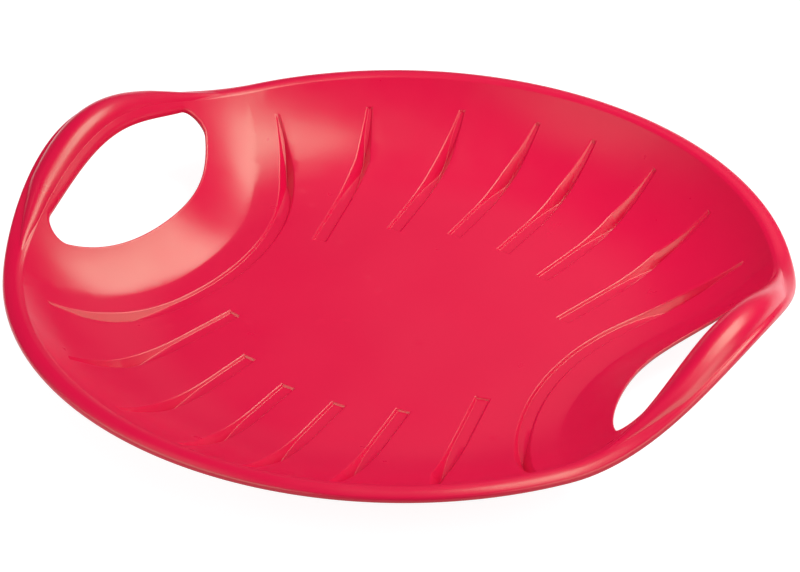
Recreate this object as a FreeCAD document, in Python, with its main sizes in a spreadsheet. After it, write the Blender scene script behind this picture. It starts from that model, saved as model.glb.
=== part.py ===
import FreeCAD, Part
import math
import os
import Sketcher

# Saucer sled: a round dish moulded from one sheet of plastic, with two raised grips on its rim.
# The moulding is drawn as its own regions, which meet face to face: floor, wall, rim, ears, grips and runners.
# X runs from grip to grip, Y is the way the runners point, Z is up, and the runners stand on Z = 0.

doc = FreeCAD.newDocument("saucer_sled")
sheet = doc.addObject("Spreadsheet::Sheet", "sizes")

# Driving dimensions in millimetres and degrees.
SIZES = {
    "sheet_thickness": 3,
    "rim_radius": 300,
    "wall_run": 116,
    "dish_depth": 46.5,
    "lip_width": 16,
    "lip_crown": 2,
    "edge_round": 3.5,
    "edge_lap": 0.6,
    "handle_span": 72,
    "handle_rise": 40,
    "grip_width": 33,
    "grip_crown": 10,
    "plateau_width": 20.75,
    "panel_bow": 200,
    "panel_lead": 0.4,
    "panel_blend": 2,
    "panel_end": 12,
    "flange_width": 4.5,
    "hole_reach": 56,
    "hole_length": 228,
    "hole_bow": 8,
    "hole_corner": 10.5,
    "keel_drop": 3,
    "groove_width": 11.5,
    "groove_tip_width": 2.5,
    "keel_wall": 2.5,
    "heel_inset": 43,
    "keel_rim_gap": 19,
    "keel_toe": 46,
    "inner_heel_angle": 10.2,
    "inner_toe_angle": 5.6,
    "middle_heel_angle": 33.9,
    "middle_toe_angle": 19.6,
    "outer_heel_angle": 62.5,
    "outer_toe_angle": 36.3,
    "wrap_gap": 16,
    "wrap_toe_beyond": 1.5,
}
for row, (name, value) in enumerate(SIZES.items(), start=1):
    sheet.set(f"A{row}", name)
    sheet.set(f"B{row}", str(value))
    sheet.setAlias(f"B{row}", name)
doc.recompute()

# Lengths worked out from the driving ones, as expressions.
CREASE = "(sizes.rim_radius - sizes.lip_width)"
FLOOR_TOP = "(sizes.keel_drop + sizes.sheet_thickness)"
LIP_BASE = f"({FLOOR_TOP} + sizes.dish_depth)"
FLOOR_RADIUS = f"({CREASE} - sizes.wall_run)"
WALL_ARC = "((sizes.wall_run^2 + sizes.dish_depth^2) / (2 * sizes.dish_depth))"
WALL_CENTRE = f"({FLOOR_TOP} + {WALL_ARC})"
HEEL_RADIUS = f"({FLOOR_RADIUS} - sizes.heel_inset)"
SEAM = f"({HEEL_RADIUS} - sizes.groove_width - sizes.sheet_thickness)"
WRAP_MIDDLE = f"({HEEL_RADIUS} + sizes.wrap_gap)"
TIP_RADIUS = f"({CREASE} - sizes.keel_rim_gap)"
END_RADIUS = f"({TIP_RADIUS} + sizes.sheet_thickness)"
CORNER_RADIUS = f"({TIP_RADIUS} - sizes.keel_toe)"
WRAP_TOE_ANGLE = "((sizes.handle_span / 2 + sizes.wrap_toe_beyond) * 1deg)"
TOOL_TOP = f"({LIP_BASE} + sizes.handle_rise + 2 * sizes.grip_crown)"


def number(text):
    """Value of an expression on the sheet."""
    return float(sheet.evalExpression(text))


def wall_height(radius):
    """Expression for the height of the dish's upper face at a radius."""
    return f"({WALL_CENTRE} - sqrt({WALL_ARC}^2 - ({radius} - {FLOOR_RADIUS})^2))"


def wall_drop(radius):
    """Expression for the sheet's thickness, measured straight down at a radius of the wall."""
    run = f"({radius} - {FLOOR_RADIUS})"
    outside = f"({WALL_ARC} + sizes.sheet_thickness)"
    return f"(sqrt({outside}^2 - {run}^2) - sqrt({WALL_ARC}^2 - {run}^2))"


def bind(sketch, kind, geometry, point, text):
    """Hold one coordinate of a sketch point at the value of an expression."""
    if text == "0":
        axis = -2 if kind == "DistanceX" else -1
        sketch.addConstraint(Sketcher.Constraint("PointOnObject", geometry, point, axis))
        return
    index = sketch.addConstraint(Sketcher.Constraint(kind, -1, 1, geometry, point, number(text)))
    sketch.setExpression(f"Constraints[{index}]", text)


def draw_profile(body, plane_role, corners, arcs=None):
    """Closed sketch on one of the body's planes: corners and arc centres are (x, y, held), arcs go by side."""
    arcs = arcs or {}
    sketch = body.newObject("Sketcher::SketchObject", body.Name + "_sketch")
    plane = next(item for item in body.Origin.OriginFeatures if item.Role == plane_role)
    sketch.AttachmentSupport = [(plane, "")]
    sketch.MapMode = "FlatFace"
    points = [FreeCAD.Vector(number(x), number(y), 0) for x, y, held in corners]
    ends = []
    for side, start in enumerate(points):
        finish = points[(side + 1) % len(points)]
        if side not in arcs:
            sketch.addGeometry(Part.LineSegment(start, finish))
            ends.append((1, 2))
            continue
        centre = FreeCAD.Vector(number(arcs[side][0]), number(arcs[side][1]), 0)
        first, last = (math.atan2(p.y - centre.y, p.x - centre.x) for p in (start, finish))
        circle = Part.Circle(centre, FreeCAD.Vector(0, 0, 1), (start - centre).Length)
        forward = (last - first) % (2 * math.pi) < math.pi
        sketch.addGeometry(Part.ArcOfCircle(circle, first, last) if forward else Part.ArcOfCircle(circle, last, first))
        ends.append((1, 2) if forward else (2, 1))
    for side in range(len(points)):
        after = (side + 1) % len(points)
        sketch.addConstraint(Sketcher.Constraint("Coincident", side, ends[side][1], after, ends[after][0]))
    for side, (x, y, held) in enumerate(corners):
        if "x" in held:
            bind(sketch, "DistanceX", side, ends[side][0], x)
        if "y" in held:
            bind(sketch, "DistanceY", side, ends[side][0], y)
    for side, (x, y, held) in arcs.items():
        if "x" in held:
            bind(sketch, "DistanceX", side, 3, x)
        if "y" in held:
            bind(sketch, "DistanceY", side, 3, y)
    return sketch


def new_body(name, label=None):
    body = doc.addObject("PartDesign::Body", name)
    body.Label = label or name
    return body


def padded(name, corners, arcs, height, base="0"):
    """Body with a profile in plan, padded straight up from a base height."""
    body = new_body(name)
    sketch = draw_profile(body, "XY_Plane", corners, arcs)
    pad = body.newObject("PartDesign::Pad", name + "_pad")
    pad.Profile = sketch
    pad.setExpression("Length", height)
    if base != "0":
        body.setExpression("Placement.Base.z", base)
    return body


def revolved(name, corners, arcs, angle, turn="0"):
    """Body with a profile in the XZ plane, turned about Z through an angle from a starting angle."""
    body = new_body(name)
    sketch = draw_profile(body, "XZ_Plane", corners, arcs)
    revolution = body.newObject("PartDesign::Revolution", name + "_revolution")
    revolution.Profile = sketch
    revolution.ReferenceAxis = (sketch, ["V_Axis"])
    revolution.setExpression("Angle", angle)
    body.setExpression("Placement.Rotation.Angle", f"{turn} * 1deg")
    return body


def boolean(kind, name, base, tool):
    """Part::Cut or Part::Common of two objects."""
    result = doc.addObject(kind, name)
    result.Base = base
    result.Tool = tool
    result.Label = name
    return result


def floor_pan():
    """Flat round middle of the dish, up to the seam inside the heels of the runners."""
    body = new_body("floor_pan")
    sketch = body.newObject("Sketcher::SketchObject", "floor_pan_sketch")
    plane = next(item for item in body.Origin.OriginFeatures if item.Role == "XY_Plane")
    sketch.AttachmentSupport = [(plane, "")]
    sketch.MapMode = "FlatFace"
    sketch.addGeometry(Part.Circle(FreeCAD.Vector(), FreeCAD.Vector(0, 0, 1), number(SEAM)))
    sketch.addConstraint(Sketcher.Constraint("Coincident", 0, 3, -1, 1))
    radius = sketch.addConstraint(Sketcher.Constraint("Radius", 0, number(SEAM)))
    sketch.setExpression(f"Constraints[{radius}]", SEAM)
    pad = body.newObject("PartDesign::Pad", "floor_pan_pad")
    pad.Profile = sketch
    pad.setExpression("Length", "sizes.sheet_thickness")
    body.setExpression("Placement.Base.z", "sizes.keel_drop")
    return body


def wall_ring(name, turn):
    """Half of the dish's wall: flat at the floor, then one arc up to the crease of the lip."""
    under_crease = f"({LIP_BASE} - {wall_drop(CREASE)})"
    corners = [
        (SEAM, "sizes.keel_drop", "xy"),
        (SEAM, FLOOR_TOP, "xy"),
        (FLOOR_RADIUS, FLOOR_TOP, "xy"),
        (CREASE, LIP_BASE, "x"),
        (CREASE, under_crease, "x"),
        (FLOOR_RADIUS, "sizes.keel_drop", "xy"),
    ]
    centre = (FLOOR_RADIUS, WALL_CENTRE, "xy")
    corners.reverse()
    return revolved(name, corners, {0: centre, 2: centre}, "180", turn)


def lip_corners(crease, base, crown, drop):
    """Section of the lip or grip: crowned top, rounded outer edge turned down, hollow underneath."""
    shoulder = "(sizes.rim_radius - sizes.edge_round)"
    inside = "(sizes.rim_radius - sizes.sheet_thickness)"
    foot = f"({base} - {drop} - sizes.edge_lap)"
    top_half = f"(({shoulder} - {crease}) / 2)"
    under_half = f"(({inside} - {crease}) / 2)"
    under_crown = f"({crown} - sizes.sheet_thickness + {drop})"
    top_centre = (f"({crease} + {top_half})", f"({base} + ({crown}^2 - {top_half}^2) / (2 * {crown}))", "xy")
    under_centre = (
        f"({crease} + {under_half})",
        f"({base} - {drop} + ({under_crown}^2 - {under_half}^2) / (2 * {under_crown}))",
        "xy",
    )
    corners = [
        (crease, base, "xy"),
        (shoulder, base, "x"),
        ("sizes.rim_radius", f"({base} - sizes.edge_round)", "y"),
        ("sizes.rim_radius", foot, "xy"),
        (inside, foot, "xy"),
        (inside, f"({base} - {drop})", "xy"),
        (crease, f"({base} - {drop})", "x"),
    ]
    arcs = {0: top_centre, 1: (shoulder, f"({base} - sizes.edge_round)", "xy"), 5: under_centre}
    return corners, arcs


def rim(name, turn):
    """Plain lip between the two grips, turned about the middle of the dish."""
    corners, arcs = lip_corners(CREASE, LIP_BASE, "sizes.lip_crown", wall_drop(CREASE))
    return revolved(name, corners, arcs, "180 - sizes.handle_span", turn)


def keel_envelopes():
    """Rings that limit every runner: its whole body, and the open groove in its top."""
    corner_height = "sizes.sheet_thickness"
    body_corners = [
        (SEAM, "0", "xy"),
        (SEAM, FLOOR_TOP, "xy"),
        (FLOOR_RADIUS, FLOOR_TOP, "xy"),
        (END_RADIUS, wall_height(END_RADIUS), "x"),
        (END_RADIUS, f"({wall_height(END_RADIUS)} - {wall_drop(END_RADIUS)})", "xy"),
        (CORNER_RADIUS, "0", "xy"),
    ]
    groove_corners = [
        (SEAM, corner_height, "xy"),
        (SEAM, TOOL_TOP, "xy"),
        (TIP_RADIUS, TOOL_TOP, "xy"),
        (TIP_RADIUS, wall_height(TIP_RADIUS), "xy"),
        (CORNER_RADIUS, corner_height, "xy"),
    ]
    whole = revolved("keel_envelope", body_corners, {2: (FLOOR_RADIUS, WALL_CENTRE, "xy")}, "360")
    groove = revolved("groove_envelope", groove_corners, {}, "360")
    return whole, groove


def keel_blank(name, heel, toe, side, turn, wall):
    """Straight runner in plan: parallel from its heel to its corner, then narrowing to its toe."""
    heel_x = f"({side} * {HEEL_RADIUS} * sin({heel} * 1deg))"
    heel_y = f"({HEEL_RADIUS} * cos({heel} * 1deg))"
    toe_x = f"({side} * {TIP_RADIUS} * sin({toe} * 1deg))"
    toe_y = f"({TIP_RADIUS} * cos({toe} * 1deg))"
    length = f"sqrt(({toe_x} - {heel_x})^2 + ({toe_y} - {heel_y})^2)"
    corner = f"({length} * ({CORNER_RADIUS} - {HEEL_RADIUS}) / ({TIP_RADIUS} - {HEEL_RADIUS}))"
    half = f"(sizes.groove_width / 2 + {wall})"
    tip_half = f"(sizes.groove_tip_width / 2 + {wall})"
    start = f"(-1 * {wall})"
    finish = f"({length} + sizes.sheet_thickness + {wall})"
    corners = [
        (start, f"(-1 * {half})", "xy"),
        (corner, f"(-1 * {half})", "xy"),
        (finish, f"(-1 * {tip_half})", "xy"),
        (finish, tip_half, "xy"),
        (corner, half, "xy"),
        (start, half, "xy"),
    ]
    body = padded(name, corners, {}, TOOL_TOP)
    sign = "-1" if turn == "180" else "1"
    body.setExpression("Placement.Base.x", f"{sign} * {heel_x}")
    body.setExpression("Placement.Base.y", f"{sign} * {heel_y}")
    body.setExpression("Placement.Rotation.Angle", f"atan2({toe_y} - {heel_y}; {toe_x} - {heel_x}) + {turn} * 1deg")
    return body


def cylinder(name, radius, centre_x):
    """Upright cylinder that stands on the X axis and is taller than the sled."""
    tool = doc.addObject("Part::Cylinder", name)
    tool.setExpression("Radius", radius)
    tool.setExpression("Height", TOOL_TOP)
    tool.setExpression("Placement.Base.x", centre_x)
    return tool


def wrap_circles():
    """Radius and centre distance of the two arcs that bound the curved groove in front of a grip."""
    tip_x = f"({TIP_RADIUS} * cos({WRAP_TOE_ANGLE}))"
    tip_y = f"({TIP_RADIUS} * sin({WRAP_TOE_ANGLE}))"
    circles = []
    for side in ("-1", "1"):
        vertex = f"({WRAP_MIDDLE} + {side} * sizes.groove_width / 2)"
        reach = f"({tip_x} - {vertex})"
        radius = f"(({reach}^2 + {tip_y}^2) / (2 * {reach}))"
        circles.append((radius, f"({vertex} + {radius})"))
    return circles


def crescent(name, wall, side):
    """Plan of the curved groove, grown by a wall: one cylinder less another."""
    (near_radius, near_centre), (far_radius, far_centre) = wrap_circles()
    near = cylinder(name + "_near", f"{near_radius} + {wall}", f"{side} * {near_centre}")
    far = cylinder(name + "_far", f"{far_radius} - {wall}", f"{side} * {far_centre}")
    return boolean("Part::Cut", name, near, far)


def runner(name, whole_blank, groove_blank, envelopes):
    """Channel-shaped runner: a keel below the dish with its groove open above."""
    block = boolean("Part::Common", name + "_block", whole_blank, envelopes[0])
    groove = boolean("Part::Common", name + "_groove", groove_blank, envelopes[1])
    return block, boolean("Part::Cut", name, block, groove)


def value(name):
    return float(getattr(sheet, name))


def smooth_max(first, second, blend):
    """Larger of two heights, with the corner between them rounded."""
    overlap = max(blend - abs(first - second), 0.0)
    rounding = overlap * overlap / (4 * blend) if blend else 0.0
    return max(first, second) + rounding


def handle_share(angle):
    """Share of the handle's rise at an angle off the grip's middle: 1 there, 0 at its ends."""
    half_span = value("handle_span") / 2
    if abs(angle) >= half_span:
        return 0.0
    return math.cos(math.radians(90 * angle / half_span)) ** 2


def crease_radius(angle):
    widening = (value("grip_width") - value("lip_width")) * handle_share(angle)
    return value("rim_radius") - value("lip_width") - widening


def wall_level(radius):
    """Height of the dish's upper face at a radius, as a number."""
    arc = number(WALL_ARC)
    return number(WALL_CENTRE) - math.sqrt(arc ** 2 - max(radius - number(FLOOR_RADIUS), 0) ** 2)


def panel_radius(angle):
    """Radius at which the panel leaves the dish: a bow in plan that runs into the grip's ends."""
    bow = value("panel_bow")
    middle = number(WRAP_MIDDLE) + value("groove_width") / 2 + value("plateau_width") + bow
    turn = math.radians(angle)
    on_bow = middle * math.cos(turn) - math.sqrt(max(bow ** 2 - (middle * math.sin(turn)) ** 2, 0))
    last = crease_radius(angle) - value("panel_end")
    return -smooth_max(-on_bow, -last, value("panel_end"))


def ear_height(radius, angle):
    """Height of the ear's upper face: the dish itself, then the panel that climbs to the flange of the grip."""
    crease = crease_radius(angle)
    start = panel_radius(angle)
    climb = number(LIP_BASE) + value("handle_rise") * handle_share(angle) - wall_level(crease)
    share = (radius - start) / (crease - start)
    lead = value("panel_lead")
    curve = 3 * share ** 2 - 2 * share ** 3 if share > 0 else 0.0
    lift = climb * (lead * share + (1 - lead) * curve)
    return wall_level(radius) + smooth_max(0.0, lift, value("panel_blend") * math.sqrt(handle_share(angle)))


def ear_drop(radius, angle):
    """Thickness of the ear measured straight down, so that the sheet keeps its own thickness on a slope."""
    step = value("sheet_thickness") / 10
    slope = (ear_height(radius, angle) - ear_height(radius - step, angle)) / step
    return value("sheet_thickness") * math.sqrt(1 + slope * slope)


def on_section(angle, radius, height):
    """Point of the upright section plane at an angle off the grip's middle."""
    turn = math.radians(angle)
    return FreeCAD.Vector(radius * math.cos(turn), radius * math.sin(turn), height)


STATION_STEP = 4
SECTION_POINTS = 31
GRIP_REACH = 1
EAR_REACH = 7 / 6


def stations(reach):
    """Angles of the section planes to both sides of the grip's middle, out to a share of its half span."""
    half = value("handle_span") / 2
    count = round(half * reach / STATION_STEP)
    return [half * reach * index / count for index in range(-count, count + 1)]


def ear_section(angle):
    """Closed wire of the ear's sheet in one section plane."""
    inner = number(WRAP_MIDDLE)
    outer = crease_radius(angle)
    radii = [inner + (outer - inner) * index / (SECTION_POINTS - 1) for index in range(SECTION_POINTS)]
    upper = [on_section(angle, radius, ear_height(radius, angle)) for radius in radii]
    lower = [on_section(angle, radius, ear_height(radius, angle) - ear_drop(radius, angle)) for radius in radii]
    curves = []
    for points in (upper, lower):
        curve = Part.BSplineCurve()
        curve.interpolate(points)
        curves.append(curve.toShape())
    end = Part.makeLine(upper[-1], lower[-1])
    start = Part.makeLine(lower[0], upper[0])
    return Part.Wire([curves[0], end, curves[1].reversed(), start])


def grip_section(angle):
    """Closed wire of the grip in one section plane: the lip's section, widened and crowned."""
    share = handle_share(angle)
    rim_radius = value("rim_radius")
    thickness = value("sheet_thickness")
    edge_round = value("edge_round")
    crease = crease_radius(angle)
    base = ear_height(crease, angle)
    drop = ear_drop(crease, angle)
    crown = value("lip_crown") + (value("grip_crown") - value("lip_crown")) * share
    shoulder = rim_radius - edge_round
    inside = rim_radius - thickness
    foot = base - drop - value("edge_lap")
    slant = edge_round * (1 - math.sqrt(0.5))

    def place(radius, height):
        return on_section(angle, radius, height)

    top = Part.Arc(place(crease, base), place((crease + shoulder) / 2, base + crown), place(shoulder, base))
    corner = place(rim_radius - slant, base - slant)
    rounding = Part.Arc(place(shoulder, base), corner, place(rim_radius, base - edge_round))
    hollow = place((crease + inside) / 2, base + crown - thickness)
    under = Part.Arc(place(inside, base - drop), hollow, place(crease, base - drop))
    edges = [
        top.toShape(),
        rounding.toShape(),
        Part.makeLine(place(rim_radius, base - edge_round), place(rim_radius, foot)),
        Part.makeLine(place(rim_radius, foot), place(inside, foot)),
        Part.makeLine(place(inside, foot), place(inside, base - drop)),
        under.toShape(),
        Part.makeLine(place(crease, base - drop), place(crease, base)),
    ]
    return Part.Wire(edges)


def lofted(name, sections, turn):
    """Solid through the section wires, turned about Z to its side of the sled."""
    feature = doc.addObject("Part::Feature", name)
    feature.Label = name
    feature.Shape = Part.makeLoft(sections, True, False)
    feature.Placement = FreeCAD.Placement(FreeCAD.Vector(), FreeCAD.Rotation(FreeCAD.Vector(0, 0, 1), turn))
    return feature


def hand_hole(name, turn):
    """Upright tool for a hand hole: two bows that meet in rounded corners."""
    outer = "(sizes.rim_radius - sizes.grip_width - sizes.flange_width)"
    tip = f"({outer} - sizes.hole_bow)"
    half = "(sizes.hole_length / 2)"
    inner_bow = "(sizes.hole_reach - sizes.hole_bow)"
    outer_arc = f"((sizes.hole_bow^2 + {half}^2) / (2 * sizes.hole_bow))"
    inner_arc = f"(({inner_bow}^2 + {half}^2) / (2 * {inner_bow}))"
    corners = [(tip, f"(-1 * {half})", "xy"), (tip, half, "xy")]
    arcs = {
        0: (f"({outer} - {outer_arc})", "0", "x"),
        1: (f"({outer} - sizes.hole_reach + {inner_arc})", "0", "x"),
    }
    body = padded(name, corners, arcs, TOOL_TOP)
    doc.recompute()
    pad = body.Tip
    upright = [
        f"Edge{index}"
        for index, edge in enumerate(pad.Shape.Edges, start=1)
        if abs(edge.tangentAt(edge.FirstParameter).z) > 0.99
    ]
    fillet = body.newObject("PartDesign::Fillet", name + "_fillet")
    fillet.Base = (pad, upright)
    fillet.setExpression("Radius", "sizes.hole_corner")
    body.setExpression("Placement.Rotation.Angle", f"{turn} * 1deg")
    return body


def ear(name, side, turn):
    """Panel in front of a grip: from the curved groove up to the grip's crease, with its hand hole."""
    sheet_loft = lofted(name + "_sheet", [ear_section(angle) for angle in stations(EAR_REACH)], turn)
    radius, centre = wrap_circles()[1]
    area = cylinder(name + "_area", f"{radius} - sizes.keel_wall", f"{side} * {centre}")
    blank = boolean("Part::Common", name + "_blank", sheet_loft, area)
    return boolean("Part::Cut", name, blank, hand_hole(name + "_hole", turn))


def build():
    """All regions of the moulding, by node name."""
    nodes = {"floor_pan": floor_pan()}
    envelopes = keel_envelopes()
    blocks = {"front": [], "rear": []}
    keels = [("outer", "-1"), ("middle", "-1"), ("inner", "-1"), ("inner", "1"), ("middle", "1"), ("outer", "1")]
    for end, turn in (("front", "0"), ("rear", "180")):
        for index, (row, side) in enumerate(keels, start=1):
            name = f"{end}_runner_{index}"
            angles = (f"sizes.{row}_heel_angle", f"sizes.{row}_toe_angle")
            whole = keel_blank(name + "_whole", *angles, side, turn, "sizes.keel_wall")
            groove = keel_blank(name + "_hollow", *angles, side, turn, "0")
            block, nodes[name] = runner(name, whole, groove, envelopes)
            blocks[end].append(block)
    for hand, side in (("right", "1"), ("left", "-1")):
        name = f"{hand}_wrap_runner"
        whole = crescent(name + "_whole", "sizes.keel_wall", side)
        groove = crescent(name + "_hollow", "0", side)
        block, nodes[name] = runner(name, whole, groove, envelopes)
        turn = 0 if hand == "right" else 180
        nodes[f"{hand}_ear"] = ear(f"{hand}_ear", side, turn)
        nodes[f"{hand}_grip"] = lofted(f"{hand}_grip", [grip_section(angle) for angle in stations(GRIP_REACH)], turn)
        area = doc.getObject(f"{hand}_ear_area")
        for end in blocks:
            blocks[end] += [block, area]
    for end, turn in (("front", "0"), ("rear", "180")):
        cutters = doc.addObject("Part::MultiFuse", f"{end}_wall_cutters")
        cutters.Shapes = blocks[end]
        ring = wall_ring(f"{end}_wall_ring", turn)
        nodes[f"{end}_wall"] = boolean("Part::Cut", f"{end}_wall", ring, cutters)
        nodes[f"{end}_rim"] = rim(f"{end}_rim", f"(sizes.handle_span / 2 + {turn})")
    return nodes


def check_and_export(nodes):
    """Stop if any object failed, then write one file for each region."""
    doc.recompute()
    failed = [item.Name for item in doc.Objects if {"Invalid", "Error"} & set(item.State)]
    if failed:
        raise RuntimeError("failed objects: " + ", ".join(failed))
    for name, node in nodes.items():
        if node.Shape.isNull() or not node.Shape.isValid():
            raise RuntimeError("bad shape: " + name)
    os.makedirs("parts", exist_ok=True)
    for name, node in nodes.items():
        node.Shape.exportStep(f"parts/{name}.step")
        box = node.Shape.BoundBox
        print(f"{name}: {len(node.Shape.Solids)} solid, {node.Shape.Volume / 1000:.1f} cm3, "
              f"z {box.ZMin:.1f} to {box.ZMax:.1f}")


check_and_export(build())
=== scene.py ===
import math

import bmesh
import bpy
import numpy as np
from mathutils import Matrix, Vector
from mathutils.geometry import delaunay_2d_cdt


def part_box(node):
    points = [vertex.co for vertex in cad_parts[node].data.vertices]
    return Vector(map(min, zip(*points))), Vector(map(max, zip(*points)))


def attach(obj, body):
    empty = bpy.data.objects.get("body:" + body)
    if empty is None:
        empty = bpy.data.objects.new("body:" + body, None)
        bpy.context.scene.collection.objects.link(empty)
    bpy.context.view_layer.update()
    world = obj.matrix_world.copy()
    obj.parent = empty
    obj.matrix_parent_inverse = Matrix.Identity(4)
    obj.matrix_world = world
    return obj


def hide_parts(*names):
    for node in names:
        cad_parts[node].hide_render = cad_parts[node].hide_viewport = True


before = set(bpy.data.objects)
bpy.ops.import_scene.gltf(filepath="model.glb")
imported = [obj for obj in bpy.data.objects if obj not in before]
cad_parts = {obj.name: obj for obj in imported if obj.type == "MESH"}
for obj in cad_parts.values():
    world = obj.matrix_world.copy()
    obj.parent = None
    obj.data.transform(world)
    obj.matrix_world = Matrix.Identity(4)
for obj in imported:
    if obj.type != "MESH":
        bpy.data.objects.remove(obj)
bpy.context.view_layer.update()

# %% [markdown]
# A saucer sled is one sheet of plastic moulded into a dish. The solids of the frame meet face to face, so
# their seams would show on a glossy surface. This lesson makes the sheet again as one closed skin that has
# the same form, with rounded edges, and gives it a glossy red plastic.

MM = 0.001

# %% [markdown]
# Sizes come from the frame where a node shows them: the rim, the crease under the lip, the floor and the
# height of the grips. The rest are the small sizes of the moulding, as plain values. Angles are in degrees.

# %% sizes
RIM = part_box("front_rim")[1].y
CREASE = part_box("front_wall")[1].y
FLOOR_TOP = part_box("floor_pan")[1].z
LIP_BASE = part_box("front_wall")[1].z
SHEET = FLOOR_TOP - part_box("floor_pan")[0].z
HANDLE_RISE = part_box("right_ear")[1].z - LIP_BASE
GRIP_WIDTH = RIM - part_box("right_ear")[1].x
GRIP_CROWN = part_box("right_grip")[1].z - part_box("right_ear")[1].z
LIP_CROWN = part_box("front_rim")[1].z - LIP_BASE
LIP_WIDTH = RIM - CREASE
FLOOR_RADIUS = CREASE - 116 * MM
EDGE_ROUND = 3.5 * MM
EDGE_LAP = 0.6 * MM
FOOT_ROUND = 1.2 * MM
HEM_ROUND = 0.5 * MM
HANDLE_HALF_SPAN = 36
PLATEAU_WIDTH = 20.75 * MM
PANEL_BOW = 200 * MM
PANEL_LEAD = 0.75
PANEL_BLEND = 0.5 * MM
PANEL_END = 12 * MM
HOLE_OUTER = RIM - GRIP_WIDTH - 4.5 * MM
HOLE_REACH = 56 * MM
HOLE_HALF = 114 * MM
HOLE_BOW = 8 * MM
HOLE_CORNER = 10.5 * MM
HOLE_EDGE = 2.2 * MM
HOLE_HEM = 0.6 * MM
GROOVE_WIDTH = 11.5 * MM
GROOVE_TIP_WIDTH = 4.5 * MM
WRAP_TIP_WIDTH = 3.4 * MM
KEEL_WALL = 2.5 * MM
HEEL_RADIUS = FLOOR_RADIUS - 43 * MM
TIP_RADIUS = CREASE - 19 * MM
CORNER_RADIUS = TIP_RADIUS - 46 * MM
HEEL_ANGLES = (10.2, 32.5, 60.9)
CORNER_ANGLES = (6.5, 21.4, 38.4)
TOE_ANGLES = (5.6, 19.5, 35.9)
WRAP_VERTEX = HEEL_RADIUS + 16 * MM
WRAP_TOE_ANGLE = HANDLE_HALF_SPAN + 1.5
TOE_STEEPNESS = 4
GROOVE_RISE = 1 * MM
TIP_DEPTH = 1.8 * MM
WALL_ANGLE = 55
WALL_DRAFT = math.tan(math.radians(WALL_ANGLE))
EDGE_SOFT = 0.75 * MM
FOOT_SOFT = 0.3 * MM
THIN = 0.01 * MM
print(f"rim {RIM:.3f} m, crease {CREASE:.3f} m, grip crown {GRIP_CROWN:.4f} m")

# %% [markdown]
# The upper face is a height over the plan. Without grooves it is the wall, one arc that leaves the flat
# floor without a corner, and in front of each grip a panel that leaves the floor along a bow and climbs to
# the grip.

# %% form of the dish
WALL_ARC = ((CREASE - FLOOR_RADIUS) ** 2 + (LIP_BASE - FLOOR_TOP) ** 2) / (2 * (LIP_BASE - FLOOR_TOP))
ARC_LIMIT = 0.99
SLOPE_STEP = 0.1 * MM


def wall(radius):
    """Height of the wall, kept short of the radius at which its arc would stand upright."""
    run = np.clip(radius - FLOOR_RADIUS, 0, WALL_ARC * ARC_LIMIT)
    return FLOOR_TOP + WALL_ARC - np.sqrt(WALL_ARC ** 2 - run ** 2)


def smooth_step(share):
    share = np.clip(share, 0, 1)
    return share * share * (3 - 2 * share)


def smooth_max(first, second, blend):
    """Larger of two lengths, with the corner between them rounded."""
    blend = np.maximum(blend, THIN)
    overlap = np.maximum(blend - np.abs(first - second), 0)
    return np.maximum(first, second) + overlap ** 2 / (4 * blend)


def handle_share(angle):
    """Share of the handle's rise at an angle off the grip's middle."""
    rise = np.cos(np.radians(90 * angle / HANDLE_HALF_SPAN)) ** 2
    return np.where(np.abs(angle) < HANDLE_HALF_SPAN, rise, 0)


def crease_radius(angle):
    return CREASE - (GRIP_WIDTH - LIP_WIDTH) * handle_share(angle)


def panel_radius(angle):
    """Radius at which the panel leaves the dish."""
    middle = WRAP_VERTEX + GROOVE_WIDTH / 2 + PLATEAU_WIDTH + PANEL_BOW
    turn = np.radians(angle)
    half_chord = np.sqrt(np.maximum(PANEL_BOW ** 2 - (middle * np.sin(turn)) ** 2, 0))
    on_bow = middle * np.cos(turn) - half_chord
    return -smooth_max(-on_bow, PANEL_END - crease_radius(angle), PANEL_END)


def plain_face(x, y):
    """Upper face without grooves and holes."""
    x = np.abs(x)
    radius = np.hypot(x, y)
    angle = np.degrees(np.arctan2(y, x))
    share = handle_share(angle)
    crease = crease_radius(angle)
    start = panel_radius(angle)
    climb = LIP_BASE + HANDLE_RISE * share - wall(crease)
    along = (radius - start) / (crease - start)
    lift = climb * (PANEL_LEAD * along + (1 - PANEL_LEAD) * smooth_step(along))
    return wall(radius) + np.where(share > 0, smooth_max(0, lift, PANEL_BLEND * np.sqrt(share)), 0)


def slopes(face, x, y, step):
    """Slope of a face along X and along Y."""
    along_x = (face(x + step, y) - face(x - step, y)) / (2 * step)
    along_y = (face(x, y + step) - face(x, y - step)) / (2 * step)
    return along_x, along_y


def plain_underside(x, y):
    """Lower face without keels: the sheet's thickness below the upper one, square to it."""
    along_x, along_y = slopes(plain_face, x, y, SLOPE_STEP)
    return plain_face(x, y) - SHEET * np.sqrt(1 + along_x ** 2 + along_y ** 2)


print(f"wall arc {WALL_ARC:.4f} m, handle rise {HANDLE_RISE:.4f} m")

# %% [markdown]
# Each runner is a keel below the dish and a groove above it. In plan it is nearly straight, or a crescent
# in front of a grip. Its bottom is level out to a corner and then climbs to meet the wall at the toe. The
# same rule makes both faces: the lower one is grown by the wall of the keel. The floor of the groove lies a
# little higher than the sheet's thickness above the bottom of the keel.

# %% runners
WRAP_TIP_X = TIP_RADIUS * math.cos(math.radians(WRAP_TOE_ANGLE))
WRAP_TIP_Y = TIP_RADIUS * math.sin(math.radians(WRAP_TOE_ANGLE))
WRAP_RADIUS = ((WRAP_TIP_X - WRAP_VERTEX) ** 2 + WRAP_TIP_Y ** 2) / (2 * (WRAP_TIP_X - WRAP_VERTEX))
WRAP_CENTRE = WRAP_VERTEX + WRAP_RADIUS
FAR_AWAY = 1
FOOT_SHARE = 0.8

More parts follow.
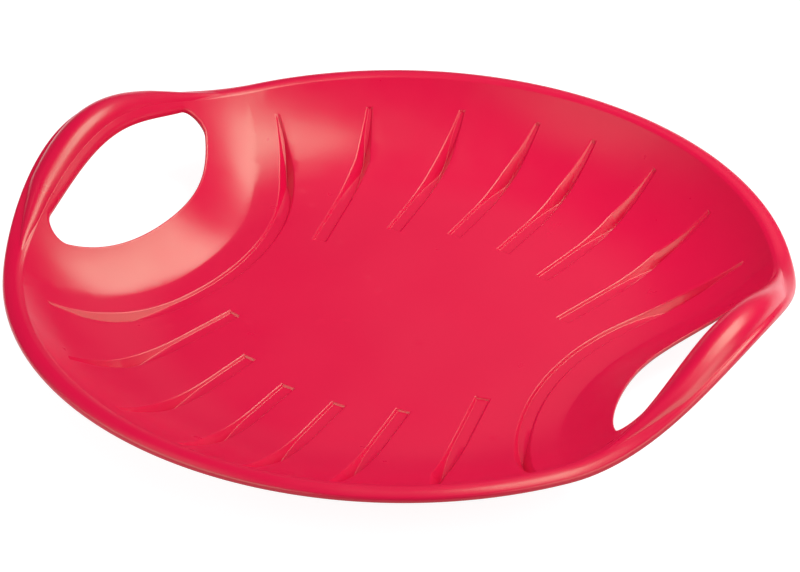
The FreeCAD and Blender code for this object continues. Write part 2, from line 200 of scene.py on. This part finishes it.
KEELS = []
for end in (1, -1):
    for side in (1, -1):
        for angles in zip(HEEL_ANGLES, CORNER_ANGLES, TOE_ANGLES):
            turns = np.radians(angles)
            way = np.column_stack((side * np.sin(turns), end * np.cos(turns)))
            KEELS.append(way * np.array((HEEL_RADIUS, CORNER_RADIUS, TIP_RADIUS))[:, None])


def unit(vector):
    return vector / np.hypot(*vector)


def half_width(radius, tip_width):
    """Half of a groove's width: even out to the corner and then narrower to the tip."""
    taper = np.clip((radius - CORNER_RADIUS) / (TIP_RADIUS - CORNER_RADIUS), 0, 1)
    return (GROOVE_WIDTH + (tip_width - GROOVE_WIDTH) * taper) / 2


def inside_keel(keel, x, y, grow):
    """Distance into a runner's outline: one straight stretch to its corner and one beyond."""
    heel, corner, tip = keel
    body_way = unit(corner - heel)
    toe_way = unit(tip - corner)
    east = x - corner[0]
    north = y - corner[1]
    from_body = np.abs(north * body_way[0] - east * body_way[1])
    from_toe = np.abs(north * toe_way[0] - east * toe_way[1])
    beyond = east * (body_way + toe_way)[0] + north * (body_way + toe_way)[1] > 0
    along = (x - heel[0]) * body_way[0] + (y - heel[1]) * body_way[1]
    half = half_width(np.hypot(x, y), GROOVE_TIP_WIDTH)
    return np.minimum(half - np.where(beyond, from_toe, from_body), along) + grow


def inside_wrap(x, y, grow):
    """Distance into the crescent in front of a grip, on either side of the sled."""
    across = np.abs(np.hypot(np.abs(x) - WRAP_CENTRE, y) - WRAP_RADIUS)
    across = np.where(np.abs(x) < WRAP_CENTRE, across, FAR_AWAY)
    return half_width(np.hypot(x, y), WRAP_TIP_WIDTH) + grow - across


def inside_runner(x, y, grow):
    straight = [inside_keel(keel, x, y, grow) for keel in KEELS]
    return np.maximum.reduce(straight + [inside_wrap(x, y, grow)])


def runner_bottom(radius, level, end_radius, end_height):
    """Level out to the corner, then straight up to where the runner ends, and steeply away beyond it."""
    climb = np.maximum(radius - CORNER_RADIUS, 0) / (end_radius - CORNER_RADIUS)
    return level + (end_height - level) * climb + TOE_STEEPNESS * np.maximum(radius - end_radius, 0)


def groove_bottom(radius):
    return runner_bottom(radius, SHEET + GROOVE_RISE, TIP_RADIUS, wall(TIP_RADIUS) - TIP_DEPTH)


def keel_bottom(radius):
    end_radius = TIP_RADIUS + SHEET
    return runner_bottom(radius, 0, end_radius, wall(end_radius) - SHEET)


def runner_cut(inside, depth):
    """How far a runner goes below the plain face: leaning walls with a soft edge and a soft foot."""
    depth = np.maximum(depth, 0)
    edge = np.maximum(EDGE_SOFT - np.abs(inside), 0) ** 2 / (4 * EDGE_SOFT)
    lean = WALL_DRAFT * (np.maximum(inside, 0) + edge)
    blend = np.minimum(FOOT_SOFT * WALL_DRAFT, FOOT_SHARE * depth)
    return -smooth_max(-lean, -depth, blend) * (depth > 0)


print(f"{len(KEELS)} straight runners, and crescents with a radius of {WRAP_RADIUS:.4f} m")

# %% [markdown]
# A hand hole is the lens between two bows, with round corners. Its distance is used to round its edge. With
# the holes, both faces of the sheet are complete.

# %% hand holes and both faces
OUTER_POINTS = 44
INNER_POINTS = 48
CORNER_POINTS = 30
OUTER_BOW = (HOLE_BOW ** 2 + HOLE_HALF ** 2) / (2 * HOLE_BOW)
INNER_BOW = ((HOLE_REACH - HOLE_BOW) ** 2 + HOLE_HALF ** 2) / (2 * (HOLE_REACH - HOLE_BOW))
OUTER_CENTRE = HOLE_OUTER - OUTER_BOW
INNER_CENTRE = HOLE_OUTER - HOLE_REACH + INNER_BOW
TO_OUTER = OUTER_BOW - HOLE_CORNER
TO_INNER = INNER_BOW - HOLE_CORNER
CORNER_X = (
    (TO_OUTER ** 2 - TO_INNER ** 2 + INNER_CENTRE ** 2 - OUTER_CENTRE ** 2)
    / (2 * (INNER_CENTRE - OUTER_CENTRE))
)
CORNER_Y = math.sqrt(TO_OUTER ** 2 - (CORNER_X - OUTER_CENTRE) ** 2)
OUTER_TURN = math.atan2(CORNER_Y, CORNER_X - OUTER_CENTRE)
INNER_TURN = math.atan2(CORNER_Y, INNER_CENTRE - CORNER_X)


def hole_distance(x, y):
    """Distance outside the nearer hand hole's edge."""
    x = np.abs(x)
    y = np.abs(y)
    turn = np.arctan2(y - CORNER_Y, x - CORNER_X)
    at_corner = (turn > OUTER_TURN) & (turn < math.pi - INNER_TURN)
    to_corner = np.hypot(x - CORNER_X, y - CORNER_Y) - HOLE_CORNER
    to_outer = np.hypot(x - OUTER_CENTRE, y) - OUTER_BOW
    to_inner = np.hypot(x - INNER_CENTRE, y) - INNER_BOW
    return np.where(at_corner, to_corner, np.maximum(to_outer, to_inner))


def hole_outline(side, offset):
    """Closed line round a hand hole at an offset outside its edge."""
    half_turn = math.pi
    full_turn = 2 * math.pi
    pieces = [
        ((OUTER_CENTRE, 0), OUTER_BOW, -OUTER_TURN, OUTER_TURN, OUTER_POINTS),
        ((CORNER_X, CORNER_Y), HOLE_CORNER, OUTER_TURN, half_turn - INNER_TURN, CORNER_POINTS),
        ((INNER_CENTRE, 0), INNER_BOW, half_turn - INNER_TURN, half_turn + INNER_TURN, INNER_POINTS),
        ((CORNER_X, -CORNER_Y), HOLE_CORNER, half_turn + INNER_TURN, full_turn - OUTER_TURN, CORNER_POINTS),
    ]
    points = []
    for (centre_x, centre_y), radius, first, last, count in pieces:
        turns = np.linspace(first, last, count, endpoint=False)
        points.append(np.column_stack((
            side * (centre_x + (radius + offset) * np.cos(turns)),
            centre_y + (radius + offset) * np.sin(turns),
        )))
    return np.concatenate(points)


def hole_rounding(x, y, edge):
    inner = np.clip(edge - hole_distance(x, y), 0, edge)
    return edge - np.sqrt(edge ** 2 - inner ** 2)


def upper_face(x, y):
    plain = plain_face(x, y)
    depth = plain - groove_bottom(np.hypot(x, y))
    return plain - runner_cut(inside_runner(x, y, 0), depth) - hole_rounding(x, y, HOLE_EDGE)


def lower_face(x, y):
    plain = plain_underside(x, y)
    depth = plain - keel_bottom(np.hypot(x, y))
    return plain - runner_cut(inside_runner(x, y, KEEL_WALL), depth) + hole_rounding(x, y, HOLE_HEM)


print(f"hand hole corner at {CORNER_X:.4f}, {CORNER_Y:.4f} m")

# %% [markdown]
# The skin is cut into triangles in plan. Lines are laid first where the form bends: both sides of every
# runner's edge and bottom corner, the foot of each panel, rings round the hand holes, and rings beside the
# crease. Loose points fill the rest. A constrained Delaunay triangulation joins them and keeps the lines as
# edges.

# %% plan of a skin
AROUND = 320
GRID = 5 * MM
LINE_STEP = 4 * MM
CORNER_GAP = 2 * MM
WRAP_POINTS = 121
PANEL_POINTS = 91
PANEL_HALF_SPAN = 27
HOLE_RINGS = np.array((0, 0.1, 0.3, 0.6, 1, 1.5, 2.2)) * MM
CREASE_RINGS = (0, 0.4 * MM, 1.2 * MM)
EDGE_LEVELS = np.array((-1, -0.5, 0, 0.5, 1)) * EDGE_SOFT
FOOT_LEVELS = np.array((-1, 0, 1)) * FOOT_SOFT
HEEL_LEVELS = np.concatenate((EDGE_LEVELS, (1.2 * MM, 1.7 * MM, 2.4 * MM)))
TIP_LEVELS = np.array((-0.4, 0, 0.4, 0.8, 1.5)) * MM
PANEL_LEVELS = np.array((-1, -0.5, 0, 0.5, 1)) * MM
CREASE_CLEARANCE = 6 * MM
RUNNER_CLEARANCE = 3 * MM
HOLE_CLEARANCE = 5 * MM
PANEL_CLEARANCE = 3 * MM
SAME_POINT = 1e-7
BORDER_SLACK = 0.05 * MM
RING_TURNS = np.linspace(0, 2 * math.pi, AROUND, endpoint=False)
# Off the middle of the nearer grip, so from -90 to 90 on each side of the sled.
RING_ANGLES = (np.degrees(RING_TURNS) + 90) % 180 - 90
PANEL_TURNS = np.radians(np.linspace(-PANEL_HALF_SPAN, PANEL_HALF_SPAN, PANEL_POINTS))


def crease_ring(inset):
    radius = crease_radius(RING_ANGLES) - inset
    return np.column_stack((radius * np.cos(RING_TURNS), radius * np.sin(RING_TURNS)))


def panel_lines(side):
    """Lines along the foot of a panel."""
    foot = panel_radius(np.degrees(PANEL_TURNS))
    way = np.column_stack((side * np.cos(PANEL_TURNS), np.sin(PANEL_TURNS)))
    return [(foot + level)[:, None] * way for level in PANEL_LEVELS]


def offset_lines(middle, across_way, tip_width, grow):
    """Lines beside a runner's middle line, where its section bends, on both sides."""
    radius = np.hypot(middle[:, 0], middle[:, 1])
    half = half_width(radius, tip_width) + grow
    depth = np.maximum(wall(radius) - groove_bottom(radius), 0)
    foot = np.clip(depth / WALL_DRAFT, 2 * EDGE_SOFT, half - 2 * FOOT_SOFT)
    insets = [np.full_like(half, level) for level in EDGE_LEVELS]
    insets += [foot + level for level in FOOT_LEVELS]
    lines = [middle]
    for inset in insets:
        for side in (1, -1):
            lines.append(middle + (side * (half - inset))[:, None] * across_way)
    return lines


def keel_lines(keel, grow):
    """Lines along a straight runner, with close steps at its heel and its tip."""
    heel, corner, tip = keel
    body_way = unit(corner - heel)
    toe_way = unit(tip - corner)
    body_length = np.hypot(*(corner - heel))
    toe_length = np.hypot(*(tip - corner))
    heel_steps = HEEL_LEVELS - grow
    body_steps = np.arange(heel_steps[-1] + LINE_STEP, body_length - CORNER_GAP, LINE_STEP)
    toe_steps = np.arange(CORNER_GAP, toe_length - CORNER_GAP, LINE_STEP)
    tip_steps = np.append(toe_length + TIP_LEVELS, toe_length + grow + SHEET)
    before = heel + np.concatenate((heel_steps, body_steps))[:, None] * body_way
    after = corner + np.concatenate((toe_steps, tip_steps))[:, None] * toe_way
    middle = np.concatenate((before, corner[None, :], after))
    ways = [body_way] * len(before) + [unit(body_way + toe_way)] + [toe_way] * len(after)
    across_way = np.array([(-way[1], way[0]) for way in ways])
    return offset_lines(middle, across_way, GROOVE_TIP_WIDTH, grow)


def wrap_lines(side, grow):
    """Lines along a crescent, to a little past its tips."""
    reach = math.atan2(WRAP_TIP_Y, WRAP_CENTRE - WRAP_TIP_X) + SHEET / WRAP_RADIUS
    turns = np.linspace(-1, 1, WRAP_POINTS) * reach
    across_way = np.column_stack((-side * np.cos(turns), np.sin(turns)))
    middle = np.array((side * WRAP_CENTRE, 0)) + WRAP_RADIUS * across_way
    return offset_lines(middle, across_way, WRAP_TIP_WIDTH, grow)


def loose_points(grow):
    """Points of a polar grid that keep clear of the lines."""
    points = [np.zeros((1, 2))]
    for radius in np.arange(GRID, CREASE, GRID):
        count = round(2 * math.pi * radius / GRID)
        turns = np.linspace(0, 2 * math.pi, count, endpoint=False)
        points.append(radius * np.column_stack((np.cos(turns), np.sin(turns))))
    points = np.concatenate(points)
    x, y = points.T
    radius = np.hypot(x, y)
    angle = np.degrees(np.arctan2(y, np.abs(x)))
    clear = crease_radius(angle) - radius > CREASE_CLEARANCE
    clear &= inside_runner(x, y, grow) < -RUNNER_CLEARANCE
    clear &= hole_distance(x, y) > HOLE_CLEARANCE
    clear &= np.abs(radius - panel_radius(angle)) > PANEL_CLEARANCE
    return points[clear]


def plan_skin(grow):
    """Points and triangles of a skin in plan, and the numbers of the points on its borders."""
    rings = [crease_ring(inset) for inset in CREASE_RINGS]
    rings += [hole_outline(side, offset) for side in (1, -1) for offset in HOLE_RINGS]
    lines = [line for keel in KEELS for line in keel_lines(keel, grow)]
    lines += [line for side in (1, -1) for line in wrap_lines(side, grow) + panel_lines(side)]
    points = []
    edges = []
    count = 0
    for index, line in enumerate(rings + lines):
        numbers = count + np.arange(len(line))
        edges += list(zip(numbers[:-1].tolist(), numbers[1:].tolist()))
        if index < len(rings):
            edges.append((int(numbers[-1]), int(numbers[0])))
        points.append(line)
        count += len(line)
    points = np.concatenate(points + [loose_points(grow)])
    joined = delaunay_2d_cdt([Vector(point) for point in points], edges, [], 0, SAME_POINT)
    flat, _, triangles, sources, _, _ = joined
    flat = np.array([tuple(point) for point in flat])
    triangles = np.array(triangles)
    x, y = flat[triangles].mean(axis=1).T
    room = crease_radius(np.degrees(np.arctan2(y, np.abs(x)))) - np.hypot(x, y)
    triangles = triangles[(room > -BORDER_SLACK) & (hole_distance(x, y) > 0)]
    number = {}
    for new, olds in enumerate(sources):
        for old in olds:
            number[old] = new
    hole_count = len(hole_outline(1, 0))
    first_hole = AROUND * len(CREASE_RINGS)
    second_hole = first_hole + hole_count * len(HOLE_RINGS)
    borders = [range(AROUND)]
    borders += [range(start, start + hole_count) for start in (first_hole, second_hole)]
    return flat, triangles, [np.array([number[old] for old in border]) for border in borders]


print(f"{len(loose_points(0))} loose points between the lines of the upper skin")

# %% [markdown]
# The lip is swept round the crease: a crowned top that rolls over into an edge turned down, and the hollow
# underneath. On each grip a tube stands on the lip. It begins as a point in the lip's width and grows until
# only a narrow ledge is left outside it.

# %% lip and grips
TUBE_HALF_SPAN = 29
TUBE_PLACE = 0.35
TUBE_START = 1.3 * MM
FOOT_SPAN = 9
VALLEY_SPAN = 16
FOOT_GAP = 0.5 * MM
LEDGE = 0.8 * MM
CLOSE_STEP = 0.012
GAP_SHARES = np.array((0, 0.5))
LEDGE_SHARES = np.array((0.35, 0.7, 1))
TOP_POINTS = 17
HOLLOW_POINTS = 15
ROLL_POINTS = 9
ROUND_POINTS = 5
LEAST_STEP = 0.05 * MM


def arc_points(centre_r, centre_z, radius, first, last, count):
    """Arc in the section at every angle round the dish, with a close step at each end."""
    shares = np.concatenate(([0, CLOSE_STEP], np.linspace(0, 1, count)[1:-1], [1 - CLOSE_STEP, 1]))
    turns = shares[None, :] * (last - first)[:, None] + first[:, None]
    out = radius[:, None] * np.cos(turns)
    rise = radius[:, None] * np.sin(turns)
    return centre_r[:, None] + out, centre_z[:, None] + rise


def bow(first_r, last_r, height, crown, count):
    """Arc over a level chord, from one radius to another."""
    half = np.abs(last_r - first_r) / 2
    radius = (half ** 2 + crown ** 2) / (2 * crown)
    spread = np.arctan2(half, radius - crown) * np.sign(last_r - first_r)
    up = np.full_like(half, math.pi / 2)
    middle = (first_r + last_r) / 2
    return arc_points(middle, height + crown - radius, radius, up + spread, up - spread, count)


def ridge(crease, outer, level, lip_crown, tube_crown, count):
    """Section from the crease outwards: the lip's bow and the grip's tube on it."""
    width = outer - crease
    begun = TUBE_HALF_SPAN - np.abs(RING_ANGLES)
    foot = crease + width * TUBE_PLACE * (1 - np.clip(begun / FOOT_SPAN, 0, 1)) - TUBE_START
    valley_place = TUBE_PLACE + (1 - TUBE_PLACE) * np.clip(begun / VALLEY_SPAN, 0, 1)
    valley = crease + width * valley_place + TUBE_START
    foot = np.maximum(foot, crease + FOOT_GAP)
    valley = np.minimum(valley, outer - LEDGE)
    tube_r, tube_z = bow(foot, valley, 0, np.maximum(tube_crown, THIN), count)
    before = crease[:, None] + (foot - crease)[:, None] * GAP_SHARES
    after = valley[:, None] + (outer - valley)[:, None] * LEDGE_SHARES
    radius = np.concatenate((before, tube_r, after), axis=1)
    lift = np.concatenate((0 * before, tube_z, 0 * after), axis=1)
    lip_crown = np.maximum(lip_crown, THIN)
    arc = (width ** 2 / 4 + lip_crown ** 2) / (2 * lip_crown)
    from_middle = radius - ((crease + outer) / 2)[:, None]
    lip_bow = (level + lip_crown - arc)[:, None] + np.sqrt(arc[:, None] ** 2 - from_middle ** 2)
    return radius, lip_bow + lift


def lip_section():
    """Radius and height of every point of the lip's section at every angle round the dish."""
    crease = crease_radius(RING_ANGLES)
    x, y = crease_ring(0).T
    base = plain_face(x, y)
    under = plain_underside(x, y)
    begun = np.clip(TUBE_HALF_SPAN - np.abs(RING_ANGLES), 0, TUBE_HALF_SPAN)
    tube = np.sin(np.radians(90 * begun / TUBE_HALF_SPAN))
    lip_crown = LIP_CROWN * (1 - np.clip(begun / VALLEY_SPAN, 0, 1))
    lean = math.pi / 2 - 2 * np.arctan(2 * lip_crown / (RIM - crease))
    ones = np.ones(AROUND)
    outward = 0 * ones
    down = -math.pi / 2 * ones
    inward = -math.pi * ones
    roll = EDGE_ROUND * ones
    small = FOOT_ROUND * ones
    hem = HEM_ROUND * ones
    inner = (RIM - SHEET) * ones
    shoulder = RIM - roll * (1 - np.cos(lean))
    foot = under - EDGE_LAP
    hollow_crown = tube * (GRIP_CROWN - SHEET + base - under)
    hollow = ridge(crease, inner, under, lip_crown, hollow_crown, HOLLOW_POINTS)
    parts = [
        ridge(crease, shoulder, base, lip_crown, tube * GRIP_CROWN, TOP_POINTS),
        arc_points(RIM - roll, base - roll * np.sin(lean), roll, lean, outward, ROLL_POINTS),
        arc_points(RIM - small, foot + small, small, outward, down, ROUND_POINTS),
        arc_points(inner + hem, foot + hem, hem, down, inward, ROUND_POINTS),
        [part[:, ::-1] for part in hollow],
    ]
    radius = np.concatenate([part[0] for part in parts], axis=1)
    height = np.concatenate([part[1] for part in parts], axis=1)
    return radius, height


def lip_grid():
    """Points of the lip, by angle and along the section, without those that nearly coincide."""
    radius, height = lip_section()
    keep = [0]
    for column in range(1, radius.shape[1]):
        last = keep[-1]
        step = np.hypot(radius[:, column] - radius[:, last], height[:, column] - height[:, last])
        if step.min() > LEAST_STEP:
            keep.append(column)
    radius = radius[:, keep]
    height = height[:, keep]
    turn = RING_TURNS[:, None]
    return np.stack((radius * np.cos(turn), radius * np.sin(turn), height), axis=2)


def grid_normals(grid):
    around = np.roll(grid, -1, axis=0) - np.roll(grid, 1, axis=0)
    along = np.gradient(grid, axis=1)
    normal = np.cross(around, along)
    return -normal / np.linalg.norm(normal, axis=2, keepdims=True)


lip = lip_grid()
print(f"lip of {lip.shape[1]} points in section at {lip.shape[0]} angles")

# %% [markdown]
# The two skins, the lip and the walls of the hand holes share their border points, so the sheet is one
# closed mesh. Normals come from the form itself, which keeps reflections smooth across the triangles.

# %% the moulding
NORMAL_STEP = 0.02 * MM


def skin_normals(face, flat, up):
    x, y = flat.T
    along_x, along_y = slopes(face, x, y, NORMAL_STEP)
    normal = np.column_stack((-along_x, -along_y, np.ones(len(x)))) * up
    return normal / np.linalg.norm(normal, axis=1, keepdims=True)


def hole_normals(points):
    """Level normals on a hand hole's edge, pointing into the hole."""
    along_x, along_y = slopes(hole_distance, points[:, 0], points[:, 1], SLOPE_STEP)
    return -np.column_stack((along_x, along_y, np.zeros(len(points))))


def whole_numbers(corners):
    return tuple(int(number) for number in corners)


def moulding():
    """Points, faces and normals of the closed sheet."""
    top, top_triangles, top_borders = plan_skin(0)
    low, low_triangles, low_borders = plan_skin(KEEL_WALL)
    points = np.concatenate((
        np.column_stack((top, upper_face(*top.T))),
        np.column_stack((low, lower_face(*low.T))),
        lip[:, 1:-1].reshape(-1, 3),
    ))
    normals = np.concatenate((
        skin_normals(upper_face, top, 1),
        skin_normals(lower_face, low, -1),
        grid_normals(lip)[:, 1:-1].reshape(-1, 3),
    ))
    low_start = len(top)
    lip_start = low_start + len(low)
    low_borders = [border + low_start for border in low_borders]
    columns = lip.shape[1] - 2
    lip_numbers = lip_start + np.arange(AROUND * columns).reshape(AROUND, columns)
    numbers = np.column_stack((top_borders[0], lip_numbers, low_borders[0]))
    faces = [whole_numbers(triangle) for triangle in top_triangles]
    faces += [whole_numbers(triangle[::-1] + low_start) for triangle in low_triangles]
    for here, after in zip(numbers, np.roll(numbers, -1, axis=0)):
        faces += [whole_numbers(quad) for quad in zip(here[:-1], here[1:], after[1:], after[:-1])]
    for upper, lower in zip(top_borders[1:], low_borders[1:]):
        for border in (upper, lower):
            normals[border] = hole_normals(points[border])
        quads = zip(upper, np.roll(upper, -1), np.roll(lower, -1), lower)
        faces += [whole_numbers(quad) for quad in quads]
    return points, faces, normals


points, faces, normals = moulding()
mesh = bpy.data.meshes.new("sled_moulding")
mesh.from_pydata(points.tolist(), [], faces)
mesh.validate()
closed = bmesh.new()
closed.from_mesh(mesh)
bmesh.ops.recalc_face_normals(closed, faces=closed.faces)
open_edges = sum(not edge.is_manifold for edge in closed.edges)
closed.to_mesh(mesh)
closed.free()
mesh.polygons.foreach_set("use_smooth", [True] * len(mesh.polygons))
mesh.normals_split_custom_set_from_vertices([tuple(normal) for normal in normals])
sled = bpy.data.objects.new("sled_moulding", mesh)
bpy.context.scene.collection.objects.link(sled)
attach(sled, "root")
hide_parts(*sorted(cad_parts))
print(f"moulding: {len(mesh.vertices)} points, {len(mesh.polygons)} faces, {open_edges} open edges")

# %% [markdown]
# The plastic is a deep red polyethylene with a soft gloss. Its colour drifts a little, as pigment does in a
# moulding, its gloss is uneven in small patches, and a faint orange peel breaks up the reflections. The
# large thin sheet has also sunk and swelled very slightly as it cooled, which bends the reflections.

# %% red plastic
RED = (0.74, 0.001, 0.054, 1)
DEEP_RED = (0.7, 0.0005, 0.05, 1)
DRIFT_SCALE = 9
DRIFT_DETAIL = 3
PATCH_SCALE = 45
PATCH_DETAIL = 4
LEAST_ROUGH = 0.24
MOST_ROUGH = 0.36
SWELL_SCALE = 13
SWELL_DETAIL = 0
SWELL_STRENGTH = 1
SWELL_HEIGHT = 2.5 * MM
PEEL_SCALE = 420
PEEL_DETAIL = 2
PEEL_STRENGTH = 0.05
PEEL_HEIGHT = 0.2 * MM
PLASTIC_IOR = 1.56
WARM_GLOSS = (0.5, 1, 0.66, 1)


def noise(tree, scale, detail):
    """Noise over the object's own space."""
    place = tree.nodes.new("ShaderNodeTexCoord")
    texture = tree.nodes.new("ShaderNodeTexNoise")
    texture.inputs["Scale"].default_value = scale
    texture.inputs["Detail"].default_value = detail
    tree.links.new(place.outputs["Object"], texture.inputs["Vector"])
    return texture.outputs["Fac"]


def spread_over(tree, value, least, most):
    """A value from 0 to 1 spread over another range."""
    spread = tree.nodes.new("ShaderNodeMapRange")
    spread.inputs["To Min"].default_value = least
    spread.inputs["To Max"].default_value = most
    tree.links.new(value, spread.inputs["Value"])
    return spread.outputs["Result"]


def bump(tree, relief, strength, height):
    """Bump node for a relief of the given height."""
    node = tree.nodes.new("ShaderNodeBump")
    node.inputs["Strength"].default_value = strength
    node.inputs["Distance"].default_value = height
    tree.links.new(relief, node.inputs["Height"])
    return node


def red_plastic():
    material = bpy.data.materials.new("red_plastic")
    material.use_nodes = True
    tree = material.node_tree
    link = tree.links.new
    shader = tree.nodes["Principled BSDF"]
    tint = tree.nodes.new("ShaderNodeMix")
    tint.data_type = "RGBA"
    tint.inputs["A"].default_value = RED
    tint.inputs["B"].default_value = DEEP_RED
    link(noise(tree, DRIFT_SCALE, DRIFT_DETAIL), tint.inputs["Factor"])
    link(tint.outputs["Result"], shader.inputs["Base Color"])
    patches = noise(tree, PATCH_SCALE, PATCH_DETAIL)
    link(spread_over(tree, patches, LEAST_ROUGH, MOST_ROUGH), shader.inputs["Roughness"])
    waves = bump(tree, noise(tree, SWELL_SCALE, SWELL_DETAIL), SWELL_STRENGTH, SWELL_HEIGHT)
    peel = bump(tree, noise(tree, PEEL_SCALE, PEEL_DETAIL), PEEL_STRENGTH, PEEL_HEIGHT)
    link(waves.outputs["Normal"], peel.inputs["Normal"])
    link(peel.outputs["Normal"], shader.inputs["Normal"])
    shader.inputs["IOR"].default_value = PLASTIC_IOR
    shader.inputs["Specular Tint"].default_value = WARM_GLOSS
    return material


sled.data.materials.append(red_plastic())
print("plastic on", sled.name)

# %% [markdown]
# The floor is a wide pale sheet. To the camera and to reflections it is white by itself, and a share of
# plain diffuse paint in it keeps the shadow under the sled.

# %% floor
FLOOR_SIZE = 12
FLOOR_GLOW = 0.9
FLOOR_PAINT = 0.3
MOTTLED_PAINT = FLOOR_PAINT * 1.02
MOTTLE_SCALE = 3
MOTTLE_DETAIL = 2


def white_floor():
    material = bpy.data.materials.new("white_floor")
    material.use_nodes = True
    tree = material.node_tree
    link = tree.links.new
    tree.nodes.remove(tree.nodes["Principled BSDF"])
    output = tree.nodes["Material Output"]
    mottle = noise(tree, MOTTLE_SCALE, MOTTLE_DETAIL)
    paint = tree.nodes.new("ShaderNodeBsdfDiffuse")
    link(spread_over(tree, mottle, FLOOR_PAINT, MOTTLED_PAINT), paint.inputs["Color"])
    rays = tree.nodes.new("ShaderNodeLightPath")
    seen = tree.nodes.new("ShaderNodeMath")
    seen.operation = "MAXIMUM"
    link(rays.outputs["Is Camera Ray"], seen.inputs[0])
    link(rays.outputs["Is Glossy Ray"], seen.inputs[1])
    strength = tree.nodes.new("ShaderNodeMath")
    strength.operation = "MULTIPLY"
    link(seen.outputs[0], strength.inputs[0])
    strength.inputs[1].default_value = FLOOR_GLOW
    glow = tree.nodes.new("ShaderNodeEmission")
    link(strength.outputs[0], glow.inputs["Strength"])
    both = tree.nodes.new("ShaderNodeAddShader")
    link(paint.outputs[0], both.inputs[0])
    link(glow.outputs[0], both.inputs[1])
    link(both.outputs[0], output.inputs["Surface"])
    return material


half = FLOOR_SIZE / 2
floor_corners = [(-half, -half, 0), (half, -half, 0), (half, half, 0), (-half, half, 0)]
floor_mesh = bpy.data.meshes.new("studio_floor")
floor_mesh.from_pydata(floor_corners, [], [(0, 1, 2, 3)])
floor = bpy.data.objects.new("studio_floor", floor_mesh)
floor.data.materials.append(white_floor())
bpy.context.scene.collection.objects.link(floor)
print("floor", FLOOR_SIZE, "m wide")

# %% [markdown]
# The studio has a dim room and soft boxes. The large key hangs high at the far right, where the left panel
# and the far wall mirror it. A low one at the right lights the groove walls that face it. One at the near
# left and a wide low one in front fill the walls and the lip that face them, and a faint one at the far left
# adds a little sheen to the dish's floor.

# %% light
ROOM_STRENGTH = 0.08
MIDDLE = (0, 0, 0.05)


def soft_box(name, place, aim, width, depth, watts):
    lamp = bpy.data.lights.new(name, "AREA")
    lamp.shape = "RECTANGLE"
    lamp.size = width
    lamp.size_y = depth
    lamp.energy = watts
    box = bpy.data.objects.new(name, lamp)
    box.location = place
    box.rotation_euler = (Vector(aim) - Vector(place)).to_track_quat("-Z", "Y").to_euler()
    bpy.context.scene.collection.objects.link(box)


soft_box("key_box", place=(0.86, 1.6, 2.3), aim=(0.86, 1.6, 0), width=1.9, depth=2.1, watts=86)
soft_box("right_side_box", place=(1.7, 0, 0.95), aim=MIDDLE, width=1.7, depth=1.05, watts=16)
soft_box("near_left_box", place=(-1.4, -1.0, 2.4), aim=MIDDLE, width=1.9, depth=1.5, watts=9)
soft_box("near_box", place=(-1.1, -2.05, 1.1), aim=MIDDLE, width=3.4, depth=1.2, watts=36)
soft_box("far_left_box", place=(-0.6, 1.9, 1.45), aim=MIDDLE, width=1.2, depth=1.2, watts=0.9)

world = bpy.data.worlds.new("dim_room")
world.use_nodes = True
bpy.context.scene.world = world
room = world.node_tree.nodes["Background"]
room.inputs["Color"].default_value = (1, 1, 1, 1)
room.inputs["Strength"].default_value = ROOM_STRENGTH
print("lamps", [lamp.name for lamp in bpy.data.lights])

# %% [markdown]
# The camera stands where the photograph was taken from, about three metres away with a long lens: a little
# over 33 degrees above the floor and 30 degrees round to the right.

# %% camera
CAMERA_DISTANCE = 3.0
CAMERA_ELEVATION = math.radians(33.41)
CAMERA_AZIMUTH = math.radians(30.46)
CAMERA_ROLL = math.radians(0.56)
CAMERA_LENS = 176.35
SENSOR_WIDTH = 36
CAMERA_SHIFT = (0.00176, 0.03825)

away = Vector((
    math.sin(CAMERA_AZIMUTH) * math.cos(CAMERA_ELEVATION),
    -math.cos(CAMERA_AZIMUTH) * math.cos(CAMERA_ELEVATION),
    math.sin(CAMERA_ELEVATION),
))
level_right = Vector((math.cos(CAMERA_AZIMUTH), math.sin(CAMERA_AZIMUTH), 0))
level_up = away.cross(level_right)
right = math.cos(CAMERA_ROLL) * level_right + math.sin(CAMERA_ROLL) * level_up
up = math.cos(CAMERA_ROLL) * level_up - math.sin(CAMERA_ROLL) * level_right
place = Vector((0, 0, FLOOR_TOP)) + CAMERA_DISTANCE * away
camera_data = bpy.data.cameras.new("photo_camera")
camera_data.lens = CAMERA_LENS
camera_data.sensor_width = SENSOR_WIDTH
camera_data.shift_x, camera_data.shift_y = CAMERA_SHIFT
camera = bpy.data.objects.new("photo_camera", camera_data)
camera.matrix_world = Matrix.Translation(place) @ Matrix((right, up, away)).transposed().to_4x4()
bpy.context.scene.collection.objects.link(camera)
bpy.context.scene.camera = camera
bpy.context.scene.view_settings.view_transform = "Standard"
print("camera at", tuple(round(value, 3) for value in place))
